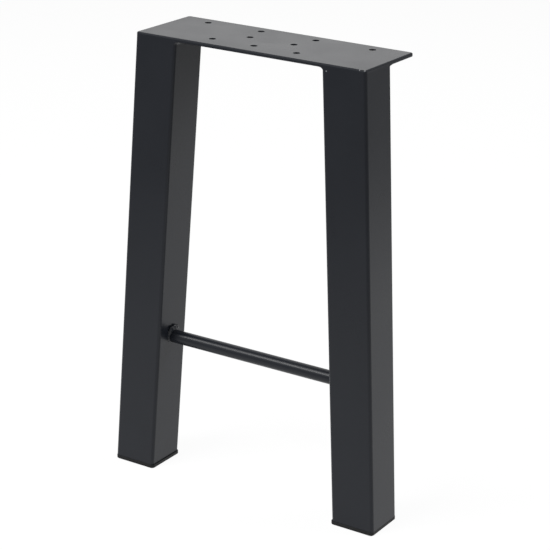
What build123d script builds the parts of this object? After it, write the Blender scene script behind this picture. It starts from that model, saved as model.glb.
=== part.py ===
from build123d import *
from math import atan, cos, sin, tan
import os

# A welded table leg: two splayed box tubes under a drilled plate, tied by a round bar, on moulded foot caps.
# Millimetres. X runs along the plate, Y from the tubes' front faces to the plate's back edge, Z up from the floor.

# Overall frame
leg_height = 740.0  # floor to the plate's top face
base_spread = 500.0  # across the tubes' outer faces, carried down to the floor

# Top plate
plate_length = 412.0
plate_depth = 144.0
plate_thickness = 6.0
plate_corner_radius = 5.0  # seen from above
plate_top_edge_radius = 2.5
plate_bottom_edge_chamfer = 0.8

# Screw holes through the plate, in three rows that run along it
screw_hole_diameter = 11.0
hole_row_pitch = 44.0  # from row to row
middle_row_setback = 4.0  # middle row behind the plate's centre line
back_row_holes = 4
back_row_pitch = 100.0
back_row_shift = -2.0  # row centre along the plate
middle_row_holes = 2
middle_row_pitch = 80.0
middle_row_shift = -4.0
front_row_holes = 3
front_row_pitch = 76.0
front_row_shift = -8.0

# Box tubes
tube_side = 75.0
tube_wall = 3.0
tube_bore_radius = 2.0  # inside corners

# Cross bar, a round tube
bar_diameter = 22.0
bar_wall = 2.0
bar_height = 231.0  # floor to its axis

# Welds
plate_weld_radius = 3.5  # hollow face of the fillet weld
bar_weld_leg = 7.0

# Foot caps
cap_flange_height = 6.0
cap_overhang = 1.0  # flange past the tube's end
cap_corner_radius = 6.0
cap_edge_chamfer = 1.0  # lower edge, on the floor side
cap_lip_chamfer = 0.4  # upper edge, against the tube
plug_length = 22.0
plug_wall = 2.4
plug_rib_count = 2
plug_rib_pitch = 8.0
plug_rib_length = 48.0  # along each flat of the plug
plug_rib_height = 1.8  # ribs past the plug's skirt
plug_rib_thickness = 2.2
plug_rib_slope = 25.0  # lead-in on the ribs, degrees
plug_clearance = 0.1  # between the ribs and the tube's bore

# Places worked out from the sizes above
plate_underside = leg_height - plate_thickness
front_face = -(plate_depth - cap_overhang) / 2  # puts the frame's middle on Y = 0
plate_centre = front_face + plate_depth / 2
tube_centre = front_face + tube_side / 2
splay = atan((base_spread - plate_length) / 2 / plate_underside)
tube_bore = tube_side - 2 * tube_wall
tube_corner_radius = tube_bore_radius + tube_wall
tube_width_level = tube_side / cos(splay)  # along X, where a level cut crosses the tube
bar_radius = bar_diameter / 2
skirt_side = tube_bore - 2 * (plug_clearance + plug_rib_height)
skirt_bore = skirt_side - 2 * plug_wall


def outer_face_at(height):
    return base_spread / 2 - height * tan(splay)


def tube_middle_at(height):
    return outer_face_at(height) - tube_width_level / 2


# Plane square to a tube's axis, with its origin on the axis at this height. Side is -1 for left, 1 for right.
def across_tube(side, height):
    return Plane(
        origin=(side * tube_middle_at(height), tube_centre, height),
        x_dir=(cos(splay), 0, side * sin(splay)),
        z_dir=(-side * sin(splay), 0, cos(splay)),
    )


# Plane of a tube's inner face, at the bar's height, facing the other tube
def inner_face(side):
    return Plane(
        origin=(side * (outer_face_at(bar_height) - tube_width_level), tube_centre, bar_height),
        x_dir=(0, 1, 0),
        z_dir=(-side * cos(splay), 0, -sin(splay)),
    )


# Flat plate with softened edges, whose lower edge stays square over the tubes and their welds
def make_top_plate():
    plate_plane = Plane.XY.offset(plate_underside)
    shoulder_width = tube_width_level + plate_weld_radius
    shoulder_depth = tube_side + plate_weld_radius
    rows = (
        (back_row_holes, back_row_pitch, back_row_shift, middle_row_setback + hole_row_pitch),
        (middle_row_holes, middle_row_pitch, middle_row_shift, middle_row_setback),
        (front_row_holes, front_row_pitch, front_row_shift, middle_row_setback - hole_row_pitch),
    )
    with BuildPart() as top_plate:
        with BuildSketch(plate_plane):
            with Locations((0, plate_centre)):
                RectangleRounded(plate_length, plate_depth, plate_corner_radius)
        extrude(amount=plate_thickness)
        fillet(top_plate.edges().group_by(Axis.Z)[-1], radius=plate_top_edge_radius)
        chamfer(top_plate.edges().group_by(Axis.Z)[0], length=plate_bottom_edge_chamfer)
        with BuildSketch(plate_plane):
            with Locations((0, plate_centre)):
                RectangleRounded(plate_length, plate_depth, plate_corner_radius)
            with Locations((-plate_length / 2, front_face), (plate_length / 2, front_face)):
                Rectangle(2 * shoulder_width, 2 * shoulder_depth, mode=Mode.INTERSECT)
        extrude(amount=plate_bottom_edge_chamfer)
        for count, pitch, shift, setback in rows:
            with Locations((shift, plate_centre + setback, leg_height)):
                with GridLocations(pitch, pitch, count, 1):
                    Hole(screw_hole_diameter / 2, depth=plate_thickness)
    top_plate.part.label = "top_plate"
    export_step(top_plate.part, "parts/top_plate.step")


# Box tube leaning out towards the floor, cut level under the plate and on the foot cap
def make_tube(side, side_name):
    run_over = tube_side  # spare length past both level cuts
    with BuildPart() as tube:
        with BuildSketch(across_tube(side, -run_over)):
            RectangleRounded(tube_side, tube_side, tube_corner_radius)
            RectangleRounded(tube_bore, tube_bore, tube_bore_radius, mode=Mode.SUBTRACT)
        extrude(amount=(leg_height + 2 * run_over) / cos(splay))
        split(bisect_by=Plane.XY.offset(plate_underside), keep=Keep.BOTTOM)
        split(bisect_by=Plane.XY.offset(cap_flange_height), keep=Keep.TOP)
    tube.part.label = f"{side_name}_tube"
    export_step(tube.part, f"parts/{side_name}_tube.step")


# Round tube from one box tube to the other, its ends cut to their slope
def make_cross_bar():
    with BuildPart() as cross_bar:
        with BuildSketch(Plane(origin=(0, tube_centre, bar_height), x_dir=(0, 1, 0), z_dir=(1, 0, 0))):
            Circle(bar_radius)
            Circle(bar_radius - bar_wall, mode=Mode.SUBTRACT)
        extrude(amount=base_spread / 2, both=True)
        for side in (-1, 1):
            split(bisect_by=inner_face(side), keep=Keep.TOP)
    cross_bar.part.label = "cross_bar"
    export_step(cross_bar.part, "parts/cross_bar.step")


# Hollow-faced fillet weld under the plate, round the tube's inner and back sides. The plate and the tube are
# put together oversize and filleted, then both are taken away again. What is left ends at the plate's edges,
# and the corner where the tube is flush with both edges has none.
def make_plate_weld(side, side_name):
    block_side = tube_width_level + 4 * plate_weld_radius
    weld_depth = 2 * plate_weld_radius
    flush_corner = 4 * tube_corner_radius
    with BuildPart() as plate_block:
        with BuildSketch(Plane.XY.offset(plate_underside)):
            with Locations((side * tube_middle_at(plate_underside), tube_centre)):
                Rectangle(block_side, block_side)
        extrude(amount=tube_side)
    with BuildPart() as tube_stub:
        with BuildSketch(across_tube(side, plate_underside + tube_side / 2)):
            RectangleRounded(tube_side, tube_side, tube_corner_radius)
        extrude(amount=-2 * tube_side)
    with BuildPart() as plate_weld:
        add(plate_block.part)
        add(tube_stub.part)
        joint_face = plate_weld.faces().filter_by(lambda face: len(face.inner_wires()) > 0)[0]
        fillet(joint_face.inner_wires()[0].edges(), radius=plate_weld_radius)
        add(plate_block.part, mode=Mode.SUBTRACT)
        add(tube_stub.part, mode=Mode.SUBTRACT)
        with BuildSketch(Plane.XY.offset(plate_underside - weld_depth)):
            with Locations((0, plate_centre)):
                RectangleRounded(plate_length, plate_depth, plate_corner_radius)
            with Locations((side * plate_length / 2, front_face)):
                Rectangle(flush_corner, flush_corner, mode=Mode.SUBTRACT)
        extrude(amount=weld_depth, mode=Mode.INTERSECT)
    plate_weld.part.label = f"{side_name}_plate_weld"
    export_step(plate_weld.part, f"parts/{side_name}_plate_weld.step")


# Mitred weld bead round the bar: a cone that runs on into the tube, cut off at the tube's sloping face
def make_bar_weld(side, side_name):
    face = inner_face(side)
    with BuildPart() as bar_weld:
        with BuildSketch(Plane(origin=face.origin, x_dir=(-side, 0, 0), z_dir=(0, -side, 0))):
            Polygon(
                (bar_weld_leg, bar_radius),
                (-bar_weld_leg, bar_radius + 2 * bar_weld_leg),
                (-bar_weld_leg, bar_radius),
                align=None,
            )
        revolve(axis=Axis(face.origin, (1, 0, 0)))
        split(bisect_by=face, keep=Keep.TOP)
    bar_weld.part.label = f"{side_name}_bar_weld"
    export_step(bar_weld.part, f"parts/{side_name}_bar_weld.step")


# Moulded cap: a flange under the tube's end and a hollow plug in its bore, held by sloping ribs on its flats.
# The flange is centred under the plug's middle, so it stands out more on the side that the tube leans to.
def make_foot_cap(side, side_name):
    seat = across_tube(side, cap_flange_height)
    flange_x = side * tube_middle_at(cap_flange_height + plug_length / 2)
    rib_span = tube_bore - 2 * plug_clearance
    with BuildPart() as plug:
        with BuildSketch(seat.offset(-tube_side)):
            RectangleRounded(skirt_side, skirt_side, tube_bore_radius)
        extrude(amount=tube_side + plug_length)
        for rib in range(plug_rib_count):
            with BuildSketch(seat.offset((rib + 1) * plug_rib_pitch - plug_rib_thickness)):
                Rectangle(rib_span, plug_rib_length)
                Rectangle(plug_rib_length, rib_span)
            extrude(amount=plug_rib_thickness, taper=plug_rib_slope)
        with BuildSketch(seat.offset(-tube_side)):
            RectangleRounded(skirt_bore, skirt_bore, tube_bore_radius)
        extrude(amount=2 * tube_side + plug_length, mode=Mode.SUBTRACT)
        split(bisect_by=Plane.XY.offset(cap_flange_height), keep=Keep.TOP)
    with BuildPart() as foot_cap:
        with BuildSketch(Plane.XY):
            with Locations((flange_x, tube_centre)):
                RectangleRounded(
                    tube_width_level + 2 * cap_overhang,
                    tube_side + 2 * cap_overhang,
                    cap_corner_radius,
                )
        extrude(amount=cap_flange_height)
        chamfer(foot_cap.edges().group_by(Axis.Z)[0], length=cap_edge_chamfer)
        chamfer(foot_cap.edges().group_by(Axis.Z)[-1], length=cap_lip_chamfer)
        add(plug.part)
    foot_cap.part.label = f"{side_name}_foot_cap"
    export_step(foot_cap.part, f"parts/{side_name}_foot_cap.step")


os.makedirs("parts", exist_ok=True)
make_top_plate()
make_cross_bar()
for tube_side_sign, tube_name in ((-1, "left"), (1, "right")):
    make_tube(tube_side_sign, tube_name)
    make_plate_weld(tube_side_sign, tube_name)
    make_bar_weld(tube_side_sign, tube_name)
    make_foot_cap(tube_side_sign, tube_name)
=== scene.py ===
import bpy
import bmesh
from math import atan, cos, exp, hypot, pi, radians, sin, tan
from mathutils import Matrix, Vector, noise


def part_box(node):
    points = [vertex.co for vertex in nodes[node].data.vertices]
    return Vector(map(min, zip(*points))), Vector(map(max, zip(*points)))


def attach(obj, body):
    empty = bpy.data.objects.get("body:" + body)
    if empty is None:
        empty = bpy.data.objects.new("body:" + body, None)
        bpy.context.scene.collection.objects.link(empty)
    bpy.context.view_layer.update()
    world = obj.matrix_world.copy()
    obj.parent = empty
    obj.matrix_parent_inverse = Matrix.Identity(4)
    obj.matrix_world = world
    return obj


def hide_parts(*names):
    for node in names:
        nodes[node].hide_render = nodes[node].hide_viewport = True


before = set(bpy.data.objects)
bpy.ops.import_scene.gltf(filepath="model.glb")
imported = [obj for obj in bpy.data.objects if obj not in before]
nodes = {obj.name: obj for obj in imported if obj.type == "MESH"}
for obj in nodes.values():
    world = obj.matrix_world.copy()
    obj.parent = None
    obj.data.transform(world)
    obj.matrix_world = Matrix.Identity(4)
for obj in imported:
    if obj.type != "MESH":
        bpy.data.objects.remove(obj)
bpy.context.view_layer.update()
mm = 0.001
print("frame loaded:", len(nodes), "nodes")

# sizes read from the frame
plateLow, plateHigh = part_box("top_plate")
tubeLow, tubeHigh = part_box("left_tube")
barLow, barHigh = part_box("cross_bar")
lean = atan((plateLow.x - tubeLow.x) / (tubeHigh.z - tubeLow.z))
tubeWidth = (tubeHigh.y - tubeLow.y) / cos(lean)  # along a level cut
barRadius = (barHigh.z - barLow.z) / 2
barMiddle = (barLow + barHigh) / 2
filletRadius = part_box("left_plate_weld")[1].y - tubeHigh.y


# x of a tube's inner face at this height, side is -1 for left and 1 for right
def innerFace(side, height):
    return side * (plateHigh.x + (tubeHigh.z - height) * tan(lean) - tubeWidth)


class Wire:  # a shader socket that can stand in a sum
    def __init__(self, tree, socket=None):
        self.tree = tree
        self.socket = socket

    def node(self, kind, settings=None, sockets=None, outlet=0):
        made = self.tree.nodes.new(kind)
        for name, value in (settings or {}).items():
            setattr(made, name, value)
        for name, value in (sockets or {}).items():
            if isinstance(value, Wire):
                self.tree.links.new(value.socket, made.inputs[name])
            else:
                made.inputs[name].default_value = value
        return Wire(self.tree, made.outputs[outlet] if made.outputs else None)

    def maths(self, operation, first, second):
        return self.node("ShaderNodeMath", {"operation": operation}, {0: first, 1: second})

    def __add__(self, other):
        return self.maths("ADD", self, other)

    def __radd__(self, other):
        return self.maths("ADD", other, self)

    def __sub__(self, other):
        return self.maths("SUBTRACT", self, other)

    def __rsub__(self, other):
        return self.maths("SUBTRACT", other, self)

    def __mul__(self, other):
        return self.maths("MULTIPLY", self, other)

    def __rmul__(self, other):
        return self.maths("MULTIPLY", other, self)


def newFinish(name):
    material = bpy.data.materials.new(name)
    material.use_nodes = True
    material.node_tree.nodes.clear()
    return material, Wire(material.node_tree)


def noiseOf(wire, place, scale, detail, rough):
    sockets = {"Vector": place, "Scale": scale, "Detail": detail, "Roughness": rough}
    return wire.node("ShaderNodeTexNoise", {}, sockets)


# 0 at low, 1 at high, eased between
def eased(wire, value, low, high):
    return wire.node(
        "ShaderNodeMapRange",
        {"interpolation_type": "SMOOTHSTEP"},
        {"Value": value, "From Min": low, "From Max": high, "To Min": 0.0, "To Max": 1.0},
    )


def mixed(wire, factor, first, second):  # the numbers are a Mix node's colour sockets
    return wire.node("ShaderNodeMix", {"data_type": "RGBA"}, {0: factor, 6: first, 7: second}, outlet=2)


def vectorMaths(wire, operation, first, second, outlet="Value"):
    return wire.node("ShaderNodeVectorMath", {"operation": operation}, {0: first, 1: second}, outlet)


def axisOf(wire, vector, axis):
    return wire.node("ShaderNodeSeparateXYZ", {}, {"Vector": vector}, axis)


def bumped(wire, height, distance, under=None):
    sockets = {"Distance": distance, "Height": height}
    if under is not None:
        sockets["Normal"] = under
    return wire.node("ShaderNodeBump", {}, sockets)


def closeFinish(wire, colour, roughness, ior, skin):
    shader = wire.node(
        "ShaderNodeBsdfPrincipled",
        {},
        {"Base Color": colour, "Roughness": roughness, "IOR": ior, "Normal": skin},
    )
    wire.node("ShaderNodeOutputMaterial", {}, {"Surface": shader})


powderCoat = {
    "tone": (0.0138, 0.0162, 0.0222, 1),
    "paleTone": (0.0160, 0.0186, 0.0250, 1),
    # noises: scale per metre, detail, roughness
    "cloud": (9.0, 3.0, 0.5),  # slow drift of the coat
    "fleck": (1100.0, 2.0, 0.6),
    "peel": (420.0, 1.0, 0.5),
    "grain": (1900.0, 2.0, 0.5),
    "cloudShare": 0.7,  # of the drift, the rest is fleck
    "driftFrom": 0.32,
    "driftTo": 0.68,
    "peelHeight": 0.035 * mm,
    "grainHeight": 0.012 * mm,
    "roughness": 0.30,
    "roughDrift": 0.06,
    "ior": 1.34,
    # painted highlights by node, light specks shaped like paint chips and paler patches of painted
    # sheen: left of, behind and below the plate's right front top corner, and size
    # light, rougher specks like paint chips, where glints show on the plate's front edge and the right
    # tube's front: painted highlights
    "paintedGlints": {
        "top_plate": (
            (11.0 * mm, 0.7 * mm, 0.4 * mm, 1.6 * mm),
            (2.8 * mm, 1.4 * mm, 0.7 * mm, 1.7 * mm),
        ),
        "right_tube": ((66.7 * mm, 0.0, 10.3 * mm, 1.5 * mm),),
    },
    "paintedGlintTone": (0.42, 0.43, 0.45, 1),
    "paintedGlintRougher": 0.1,
    "paintedGlintEdge": (2.4, 0.45, 0.75),  # in its size: how ragged it is, where its fade starts and ends
    # paler patches on the plate's top by its right front corner: painted sheen, a painted highlight
    "paintedSheens": {
        "top_plate": (
            (4.5 * mm, 3.2 * mm, 0.0, 4.2 * mm),
            (9.5 * mm, 3.0 * mm, 0.0, 4.2 * mm),
        ),
    },
    "paintedSheenTone": (0.060, 0.062, 0.066, 1),
    "paintedSheenEdge": (1.2, 0.3, 1.0),
    # by node, where the coat built up along its border: how wide, and how much rougher
    "borders": {"top_plate": (2.6 * mm, 0.34)},
    "borderFade": 0.5,  # in its width, from its inner line
    "borderDepth": (1.2, 0.8),  # in its width below the top, where it starts and where it is full
}


# 1 near the marks, which are measured from the plate's right front top corner, and 0 away from them
def nearMarks(wire, place, marks, fleck, edge):
    raggedness, inner, outer = edge
    ragged = (fleck - 0.5) * raggedness
    cover = 0.0
    for left, behind, below, size in marks:
        centre = (plateHigh.x - left, plateLow.y + behind, plateHigh.z - below)
        reach = vectorMaths(wire, "DISTANCE", place, centre)
        cover = cover + (1 - eased(wire, reach + ragged * size, size * inner, size * outer))
    return wire.maths("MINIMUM", cover, 1.0)


# 1 on the rounded top edge of a node and 0 elsewhere
def nearBorder(wire, place, node, width):
    low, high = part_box(node)
    half = (high - low) / 2
    offset = vectorMaths(wire, "SUBTRACT", place, (low + high) / 2, "Vector")
    reach = vectorMaths(wire, "ABSOLUTE", offset, (0, 0, 0), "Vector")
    along = axisOf(wire, reach, "X") - (half.x - width)
    across = axisOf(wire, reach, "Y") - (half.y - width)
    side = eased(wire, wire.maths("MAXIMUM", along, across), 0.0, width * powderCoat["borderFade"])
    start, full = (half.z - width * depth for depth in powderCoat["borderDepth"])
    return side * eased(wire, axisOf(wire, offset, "Z"), start, full)


def makePowderCoat(name, node=None):
    look = powderCoat
    material, wire = newFinish(name)
    place = wire.node("ShaderNodeTexCoord", outlet="Object")
    cloud = noiseOf(wire, place, *look["cloud"])
    fleck = noiseOf(wire, place, *look["fleck"])
    peel = noiseOf(wire, place, *look["peel"])
    grain = noiseOf(wire, place, *look["grain"])
    blotch = cloud * look["cloudShare"] + fleck * (1 - look["cloudShare"])
    drift = eased(wire, blotch, look["driftFrom"], look["driftTo"])
    colour = mixed(wire, drift, look["tone"], look["paleTone"])
    roughness = look["roughness"] + look["roughDrift"] * (drift - 0.5)
    if node in look["borders"]:
        width, rougher = look["borders"][node]
        roughness = roughness + rougher * nearBorder(wire, place, node, width)
    # paler patches on the plate's top: painted sheen, a painted highlight
    if node in look["paintedSheens"]:
        paintedSheen = nearMarks(wire, place, look["paintedSheens"][node], fleck, look["paintedSheenEdge"])
        colour = mixed(wire, paintedSheen, colour, look["paintedSheenTone"])
    # light specks like paint chips: painted highlights
    if node in look["paintedGlints"]:
        paintedGlint = nearMarks(wire, place, look["paintedGlints"][node], fleck, look["paintedGlintEdge"])
        colour = mixed(wire, paintedGlint, colour, look["paintedGlintTone"])
        roughness = roughness + look["paintedGlintRougher"] * paintedGlint
    skin = bumped(wire, peel, look["peelHeight"], bumped(wire, grain, look["grainHeight"]))
    closeFinish(wire, colour, roughness, look["ior"], skin)
    return material


footPlastic = {
    "tone": (0.0064, 0.0064, 0.0070, 1),
    "rubbedTone": (0.014, 0.014, 0.0146, 1),
    # noises: scale per metre, detail, roughness
    "grain": (2600.0, 1.0, 0.5),
    "scuff": (160.0, 4.0, 0.65),
    "scuffFrom": 0.45,
    "scuffTo": 0.75,
    "scuffHeight": 2.2 * mm,  # scuffs reach this far up from the floor
    "grainHeight": 0.02 * mm,
    "roughness": 0.56,
    "roughDrift": 0.12,
    "ior": 1.33,
}


def makeFootPlastic(name):
    look = footPlastic
    material, wire = newFinish(name)
    place = wire.node("ShaderNodeTexCoord", outlet="Object")
    scuff = noiseOf(wire, place, *look["scuff"])
    grain = noiseOf(wire, place, *look["grain"])
    low = 1 - eased(wire, axisOf(wire, place, "Z"), 0.0, look["scuffHeight"])
    rubbed = low * eased(wire, scuff, look["scuffFrom"], look["scuffTo"])
    colour = mixed(wire, rubbed, look["tone"], look["rubbedTone"])
    roughness = look["roughness"] + look["roughDrift"] * (scuff - 0.5)
    closeFinish(wire, colour, roughness, look["ior"], bumped(wire, grain, look["grainHeight"]))
    return material


coat = makePowderCoat("satin_powder_coat")
plastic = makeFootPlastic("foot_plastic_grain")
for name in ("left_tube", "cross_bar"):
    nodes[name].material_slots[0].material = coat
# coats with painted highlights, on the nodes that have them
for name in powderCoat["paintedGlints"]:
    nodes[name].material_slots[0].material = makePowderCoat(name + "_painted_highlights_coat", name)
for name in ("left_foot_cap", "right_foot_cap"):
    nodes[name].material_slots[0].material = plastic
print("finishes on the frame's own nodes")


# skin over rings of points; a ring is one cut across the bead
def skinOver(rings, closed):
    shell = bmesh.new()
    loops = [[shell.verts.new(point) for point in ring] for ring in rings]
    pairs = list(zip(loops, loops[1:]))
    if closed:
        pairs.append((loops[-1], loops[0]))
    for near, far in pairs:
        for k in range(len(near)):
            after = (k + 1) % len(near)
            shell.faces.new((near[k], near[after], far[after], far[k]))
    if not closed:
        shell.faces.new(loops[0])
        shell.faces.new(loops[-1])
    bmesh.ops.recalc_face_normals(shell, faces=shell.faces)
    return shell


def meshOf(shell, name):
    for face in shell.faces:
        face.smooth = True
    mesh = bpy.data.meshes.new(name)
    shell.to_mesh(mesh)
    shell.free()
    return mesh


def placeBead(name, mesh, replaced):
    bead = bpy.data.objects.new(name, mesh)
    bpy.context.scene.collection.objects.link(bead)
    mesh.materials.clear()
    mesh.materials.append(coat)
    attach(bead, "root")
    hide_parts(replaced)


def between(ends, share):
    return ends[0] + (ends[1] - ends[0]) * share


barBead = {
    "steps": 216,  # round the bar
    "cuts": 12,  # across the bead
    # each from under the bar to over it
    "faceLeg": (2.6 * mm, 7.6 * mm),
    "barLeg": (2.4 * mm, 5.6 * mm),
    "crown": (-0.5 * mm, 1.3 * mm),
    "overFrom": 0.35,  # heights round the bar, in its radius, between which the bead grows
    "overTo": 0.95,
    "ripples": 15,
    "rippleHeight": 0.3 * mm,
    "rippleBow": 0.10,  # their ends against their middles, in radians round the bar
    "rippleStray": 2.5,  # how unevenly they follow each other
    "strayScale": 2.0,
    "lumpScale": 1.6,
    "lumpShare": 0.18,  # of the bead's legs
    "lumpOctaves": (1.0, 2.0, 3),  # how they fade, how much finer each is, how many
    "sink": 0.5 * mm,
    "seeds": {-1: 11.0, 1: 47.0},
    # drops of weld metal: degrees round from the back over the top, distance off the bar's axis,
    # distance off the tube, size, depth of the dent in its size
    "drops": {
        -1: (
            (116.0, 15.8 * mm, 2.4 * mm, 5.4 * mm, 0.26),
            (86.0, 15.0 * mm, 1.8 * mm, 5.0 * mm, 0.0),
            (62.0, 14.8 * mm, 2.0 * mm, 4.8 * mm, 0.0),
            (40.0, 13.8 * mm, 1.6 * mm, 4.2 * mm, 0.0),
        ),
        1: (
            (98.0, 14.4 * mm, 1.6 * mm, 4.4 * mm, 0.0),
            (70.0, 14.6 * mm, 1.6 * mm, 4.0 * mm, 0.0),
            (122.0, 14.2 * mm, 1.6 * mm, 3.8 * mm, 0.2),
        ),
    },
    "dropFineness": 4,
    "dropLump": 0.12,
    "dropLumpScale": 1.4,
    "dropSeedStep": 7,
    "dropFlat": 0.7,  # squashed this much along the bar
    "dentFacing": (0.55, -0.75, 0.36),
    "dentWidth": 0.12,
    "grain": 0.4 * mm,  # of the fused mesh
    "softening": 14,  # passes
    "softenShare": 0.5,  # of the way in each
}


# one cut across the bead at this angle round the bar, its toes sunk a little into the bar and the tube
def beadCut(side, angle):
    look = barBead
    spot = Vector((cos(angle), sin(angle), look["seeds"][side])) * look["lumpScale"]
    lump = 1 + look["lumpShare"] * noise.fractal(spot, *look["lumpOctaves"])
    over = min(1.0, max(0.0, (sin(angle) - look["overFrom"]) / (look["overTo"] - look["overFrom"])))
    over = over * over * (3 - 2 * over)
    faceLeg = between(look["faceLeg"], over) * lump
    barLeg = between(look["barLeg"], over) * lump
    crown = between(look["crown"], over)
    slant = hypot(faceLeg, barLeg)
    stray = look["rippleStray"] * noise.noise(spot * look["strayScale"])
    points = []
    for cut in range(look["cuts"] + 1):
        share = cut / look["cuts"]
        swell = sin(pi * share)
        wave = look["ripples"] * (angle + look["rippleBow"] * (1 - swell)) + stray
        rise = (crown + look["rippleHeight"] * sin(wave)) * swell
        out = faceLeg * share + rise * barLeg / slant
        along = barLeg * (1 - share) + rise * faceLeg / slant
        points.append((out, along))
    sink = look["sink"]
    points += [(faceLeg, -sink), (-sink, -sink), (-sink, barLeg)]
    ring = []
    for out, along in points:
        y = barMiddle.y + (barRadius + out) * cos(angle)
        z = barMiddle.z + (barRadius + out) * sin(angle)
        ring.append((innerFace(side, z) - side * along, y, z))
    return ring


def addDrops(shell, side):
    look = barBead
    facing = Vector(look["dentFacing"]).normalized()
    for count, (turn, reach, along, size, dent) in enumerate(look["drops"][side]):
        y = barMiddle.y + reach * cos(radians(turn))
        z = barMiddle.z + reach * sin(radians(turn))
        centre = Vector((innerFace(side, z) - side * along, y, z))
        seed = Vector((look["seeds"][side] + look["dropSeedStep"] * count, 0, 0))
        drop = bmesh.ops.create_icosphere(shell, subdivisions=look["dropFineness"], radius=size)
        for vert in drop["verts"]:
            way = vert.co.normalized()
            lump = look["dropLump"] * noise.noise(way * look["dropLumpScale"] + seed)
            hollow = dent * exp((way.dot(facing) - 1) / look["dentWidth"])
            vert.co *= 1 + lump - hollow
            vert.co.x *= look["dropFlat"]
            vert.co += centre


# one closed skin over everything in the shell
def fusedMesh(shell, name):
    look = barBead
    rough = bpy.data.objects.new(name + "_rough", meshOf(shell, name + "_rough"))
    bpy.context.scene.collection.objects.link(rough)
    fuse = rough.modifiers.new("fuse", "REMESH")
    fuse.mode = "VOXEL"
    fuse.voxel_size = look["grain"]
    fuse.use_smooth_shade = True
    soften = rough.modifiers.new("soften", "SMOOTH")
    soften.factor = look["softenShare"]
    soften.iterations = look["softening"]
    fused = bpy.data.meshes.new_from_object(rough.evaluated_get(bpy.context.evaluated_depsgraph_get()))
    bpy.data.objects.remove(rough)
    fused.name = name
    return fused


# lumpy bead round one end of the bar, with drops fused into it
def makeBarBead(side, name):
    steps = barBead["steps"]
    shell = skinOver([beadCut(side, 2 * pi * step / steps) for step in range(steps)], True)
    addDrops(shell, side)
    placeBead(name, fusedMesh(shell, name), name.replace("bead", "bar_weld"))


plateFillet = {
    "straightStep": 0.9 * mm,
    "cornerSteps": 10,
    "cuts": 9,  # across the fillet
    "cornerRadius": 5.0 * mm,  # of the tube
    "ripplePitch": 3.4 * mm,
    "rippleHeight": 0.16 * mm,
    "rippleBow": 0.9 * mm,  # their middles against their ends
    "rippleStray": 2.0,
    "strayScale": 1.7,
    "lumpScale": 55.0,
    "lumpShare": 0.10,
    "lumpOctaves": (1.0, 2.0, 2),
    "sink": 0.25 * mm,
    "seeds": {-1: 5.0, 1: 29.0},
    "innerShare": 1.6,  # of the plain weld's radius, between the tubes
    "backShare": 0.6,  # and behind them
    "sharpAngle": 50.0,  # edges that turn by more degrees aren't shaded smooth
}


# the tube's outline just under the plate, from the front face round the inner and back sides to the
# outer side, as (point, outward direction, distance run); for the right side, mirrored by the caller
def filletPath():
    look = plateFillet
    radius = look["cornerRadius"]
    left, right = plateHigh.x - tubeWidth, plateHigh.x
    front, back = tubeLow.y, tubeHigh.y
    corners = (  # middle of each rounded corner, and where its quarter turn starts
        ((left + radius, front + radius), 270.0),
        ((left + radius, back - radius), 180.0),
        ((right - radius, back - radius), 90.0),
    )
    path = []
    run = 0.0
    last = None
    for (x, y), start in corners:
        arc = []
        for step in range(look["cornerSteps"] + 1):
            angle = radians(start - 90.0 * step / look["cornerSteps"])
            outward = Vector((cos(angle), sin(angle), 0))
            arc.append((Vector((x, y, 0)) + outward * radius, outward))
        if last is not None:
            first, facing = arc[0]
            pieces = max(1, round((first - last).length / look["straightStep"]))
            arc = [(last.lerp(first, k / pieces), facing) for k in range(1, pieces)] + arc
        for point, outward in arc:
            run += 0.0 if last is None else (point - last).length
            path.append((point, outward, run))
            last = point
    return path


# one cut across the fillet, kept flush with the plate's front edge and end
def filletCut(side, point, outward, run):
    look = plateFillet
    sink = look["sink"]
    spot = Vector((run * look["lumpScale"], look["seeds"][side], 0.0))
    share = between((look["innerShare"], look["backShare"]), max(0.0, outward.x, outward.y))
    radius = filletRadius * share * (1 + look["lumpShare"] * noise.fractal(spot, *look["lumpOctaves"]))
    stray = look["rippleStray"] * noise.noise(spot * look["strayScale"])
    points = []
    for cut in range(look["cuts"] + 1):
        turn = pi / 2 * cut / look["cuts"]
        bow = sin(2 * turn)
        wave = 2 * pi * (run + look["rippleBow"] * bow) / look["ripplePitch"] + stray
        rise = look["rippleHeight"] * sin(wave) * bow
        points.append((radius * (1 - sin(turn)) + rise, radius * (1 - cos(turn)) + rise))
    points += [(-sink, radius), (-sink, -sink), (radius, -sink)]
    ring = []
    for out, down in points:
        inset = sink if down < 0 else 0.0  # keeps the sunk toe behind the plate's faces
        x = min(point.x + outward.x * out + down * tan(lean), plateHigh.x - inset)
        y = max(point.y + outward.y * out, plateLow.y + inset)
        ring.append((side * x, y, tubeHigh.z - down))
    return ring


# hollow fillet with faint ripples under the plate
def makePlateFillet(side, name):
    mesh = meshOf(skinOver([filletCut(side, *stop) for stop in filletPath()], False), name)
    mesh.set_sharp_from_angle(angle=radians(plateFillet["sharpAngle"]))
    placeBead(name, mesh, name.replace("fillet", "plate_weld"))


for side, word in ((-1, "left"), (1, "right")):
    makeBarBead(side, word + "_bead")
    makePlateFillet(side, word + "_fillet")
print("weld beads built")


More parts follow.
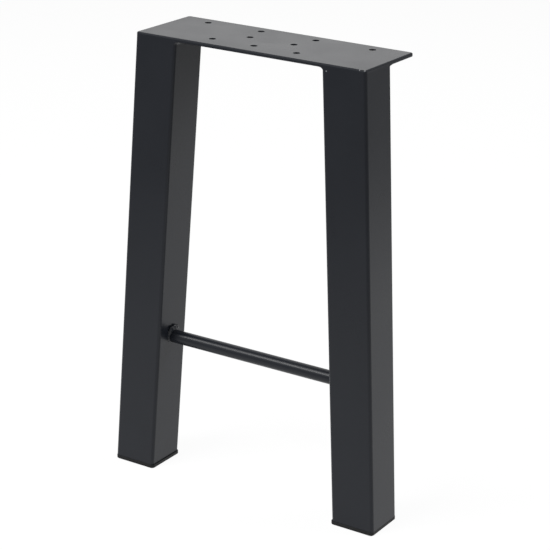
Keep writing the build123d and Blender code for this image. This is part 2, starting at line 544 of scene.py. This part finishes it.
studio = {
    "floorRadius": 9.0,
    "floorSides": 96,
    "floorTone": (0.86, 0.86, 0.86, 1),
    "farTone": (0.30, 0.30, 0.30, 1),
    "poolGlowShare": 0.85,  # how much of the floor's look is a painted glow, where the sheet and its painted pool of light are
    "farGlowShare": 0.3,  # the same, further off
    "paintedGlow": 1.1,  # strength of that painted glow
    "poolCentre": (0.19, 0.29, 0.0),  # the white sheet round the leg, which glows there as a painted pool of light
    "poolInner": 0.85,
    "poolOuter": 2.3,
    "laneWidth": 0.5,  # the white lane behind the leg, which glows as part of the painted light and widens as the view does
    "laneSpread": 0.14,
    "laneFade": 0.45,
    "laneStart": -0.4,
    "laneRise": 0.3,
    "ambient": (0.14, 0.14, 0.14, 1),
    "backdrop": (0.66, 0.66, 0.66, 1),
    # place, what it points at, size, watts
    "lamps": {
        "back_softbox": ((-1.7, 2.7, 1.95), (0.0, 0.0, 0.72), (2.4, 1.6), 7.1),
        "side_softbox": ((2.6, 1.7, 2.8), (0.0, 0.0, 0.4), (1.6, 1.6), 44.0),
        "front_strip": ((-1.52, -3.10, 3.46), (0.0, 0.0, 0.3), (2.56, 0.96), 94.0),
        "corner_softbox": ((-1.5, -1.4, 2.6), (0.0, 0.0, 0.3), (0.9, 0.9), 11.5),
    },
}

camera = {
    "eye": (1.545907, -2.437090, 1.413779),
    "yaw": 32.151,  # right of the front, degrees
    "pitch": 20.035,  # looking down
    "roll": -1.305,
    "lens": 126.19,
    "sensor": 36.0,
}


# 1 for the camera and for what shows in gloss or through glass, 0 for the light that falls on things
def seenDirectly(wire):
    outlets = wire.node("ShaderNodeLightPath").socket.node.outputs
    rays = ("Is Camera Ray", "Is Glossy Ray", "Is Transmission Ray")
    seen = [Wire(wire.tree, outlets[ray]) for ray in rays]
    return wire.maths("MINIMUM", seen[0] + seen[1] + seen[2], 1.0)


# 1 on the white sheet, where the floor also glows as a painted pool of light, and 0 further off
def whiteSheetAndLightPool(wire):
    look = studio
    yaw = radians(camera["yaw"])
    place = wire.node("ShaderNodeTexCoord", outlet="Object")
    across = vectorMaths(wire, "DOT_PRODUCT", place, (cos(yaw), sin(yaw), 0))
    behind = vectorMaths(wire, "DOT_PRODUCT", place, (-sin(yaw), cos(yaw), 0))
    away = vectorMaths(wire, "DISTANCE", place, look["poolCentre"])
    pool = 1 - eased(wire, away, look["poolInner"], look["poolOuter"])
    aside = wire.maths("ABSOLUTE", across, 0.0) - behind * look["laneSpread"]
    lane = 1 - eased(wire, aside, look["laneWidth"], look["laneWidth"] + look["laneFade"])
    begun = eased(wire, behind, look["laneStart"], look["laneStart"] + look["laneRise"])
    return wire.maths("MAXIMUM", pool, lane * begun)


def makeFloor():
    look = studio
    disc = bmesh.new()
    bmesh.ops.create_circle(disc, cap_ends=True, segments=look["floorSides"], radius=look["floorRadius"])
    mesh = bpy.data.meshes.new("floor")
    disc.to_mesh(mesh)
    disc.free()
    floor = bpy.data.objects.new("floor", mesh)
    bpy.context.scene.collection.objects.link(floor)
    material, wire = newFinish("pale_floor")
    sheetAndPoolMask = whiteSheetAndLightPool(wire)
    # the floor glows for the camera and in reflections: a painted pool of light over the white sheet,
    # weaker further off
    paintedGlow = (sheetAndPoolMask * (look["poolGlowShare"] - look["farGlowShare"]) + look["farGlowShare"]) * seenDirectly(wire)
    near = wire.node("ShaderNodeBsdfDiffuse", {}, {"Color": look["floorTone"]})
    far = wire.node("ShaderNodeBsdfDiffuse", {}, {"Color": look["farTone"]})
    lit = wire.node("ShaderNodeMixShader", {}, {0: sheetAndPoolMask, 1: far, 2: near})
    glow = wire.node("ShaderNodeEmission", {}, {"Color": (1, 1, 1, 1), "Strength": look["paintedGlow"]})
    surface = wire.node("ShaderNodeMixShader", {}, {0: paintedGlow, 1: lit, 2: glow})
    wire.node("ShaderNodeOutputMaterial", {}, {"Surface": surface})
    mesh.materials.append(material)


def makeWorld():
    world = bpy.data.worlds.new("studio")
    bpy.context.scene.world = world
    world.use_nodes = True
    world.node_tree.nodes.clear()
    wire = Wire(world.node_tree)
    colour = mixed(wire, seenDirectly(wire), studio["ambient"], studio["backdrop"])
    air = wire.node("ShaderNodeBackground", {}, {"Color": colour, "Strength": 1.0})
    wire.node("ShaderNodeOutputWorld", {}, {"Surface": air})


def makeLamps():
    for name, (place, target, size, watts) in studio["lamps"].items():
        light = bpy.data.lights.new(name, "AREA")
        light.shape = "RECTANGLE"
        light.size, light.size_y = size
        light.energy = watts
        lamp = bpy.data.objects.new(name, light)
        bpy.context.scene.collection.objects.link(lamp)
        lamp.location = place
        lamp.rotation_euler = (Vector(target) - Vector(place)).to_track_quat("-Z", "Y").to_euler()
        lamp.visible_camera = False


def makeCamera():
    yaw, pitch, roll = (radians(camera[name]) for name in ("yaw", "pitch", "roll"))
    forward = Vector((-sin(yaw) * cos(pitch), cos(yaw) * cos(pitch), -sin(pitch)))
    level = Vector((cos(yaw), sin(yaw), 0))
    down = forward.cross(level)
    right = cos(roll) * level + sin(roll) * down
    up = sin(roll) * level - cos(roll) * down
    lens = bpy.data.cameras.new("photo_camera")
    lens.lens = camera["lens"]
    lens.sensor_width = camera["sensor"]
    holder = bpy.data.objects.new("photo_camera", lens)
    bpy.context.scene.collection.objects.link(holder)
    turned = Matrix((right, up, -forward)).transposed().to_4x4()
    holder.matrix_world = Matrix.Translation(camera["eye"]) @ turned
    bpy.context.scene.camera = holder


makeFloor()
makeWorld()
makeLamps()
makeCamera()
bpy.context.scene.view_settings.view_transform = "Standard"
print("studio set")
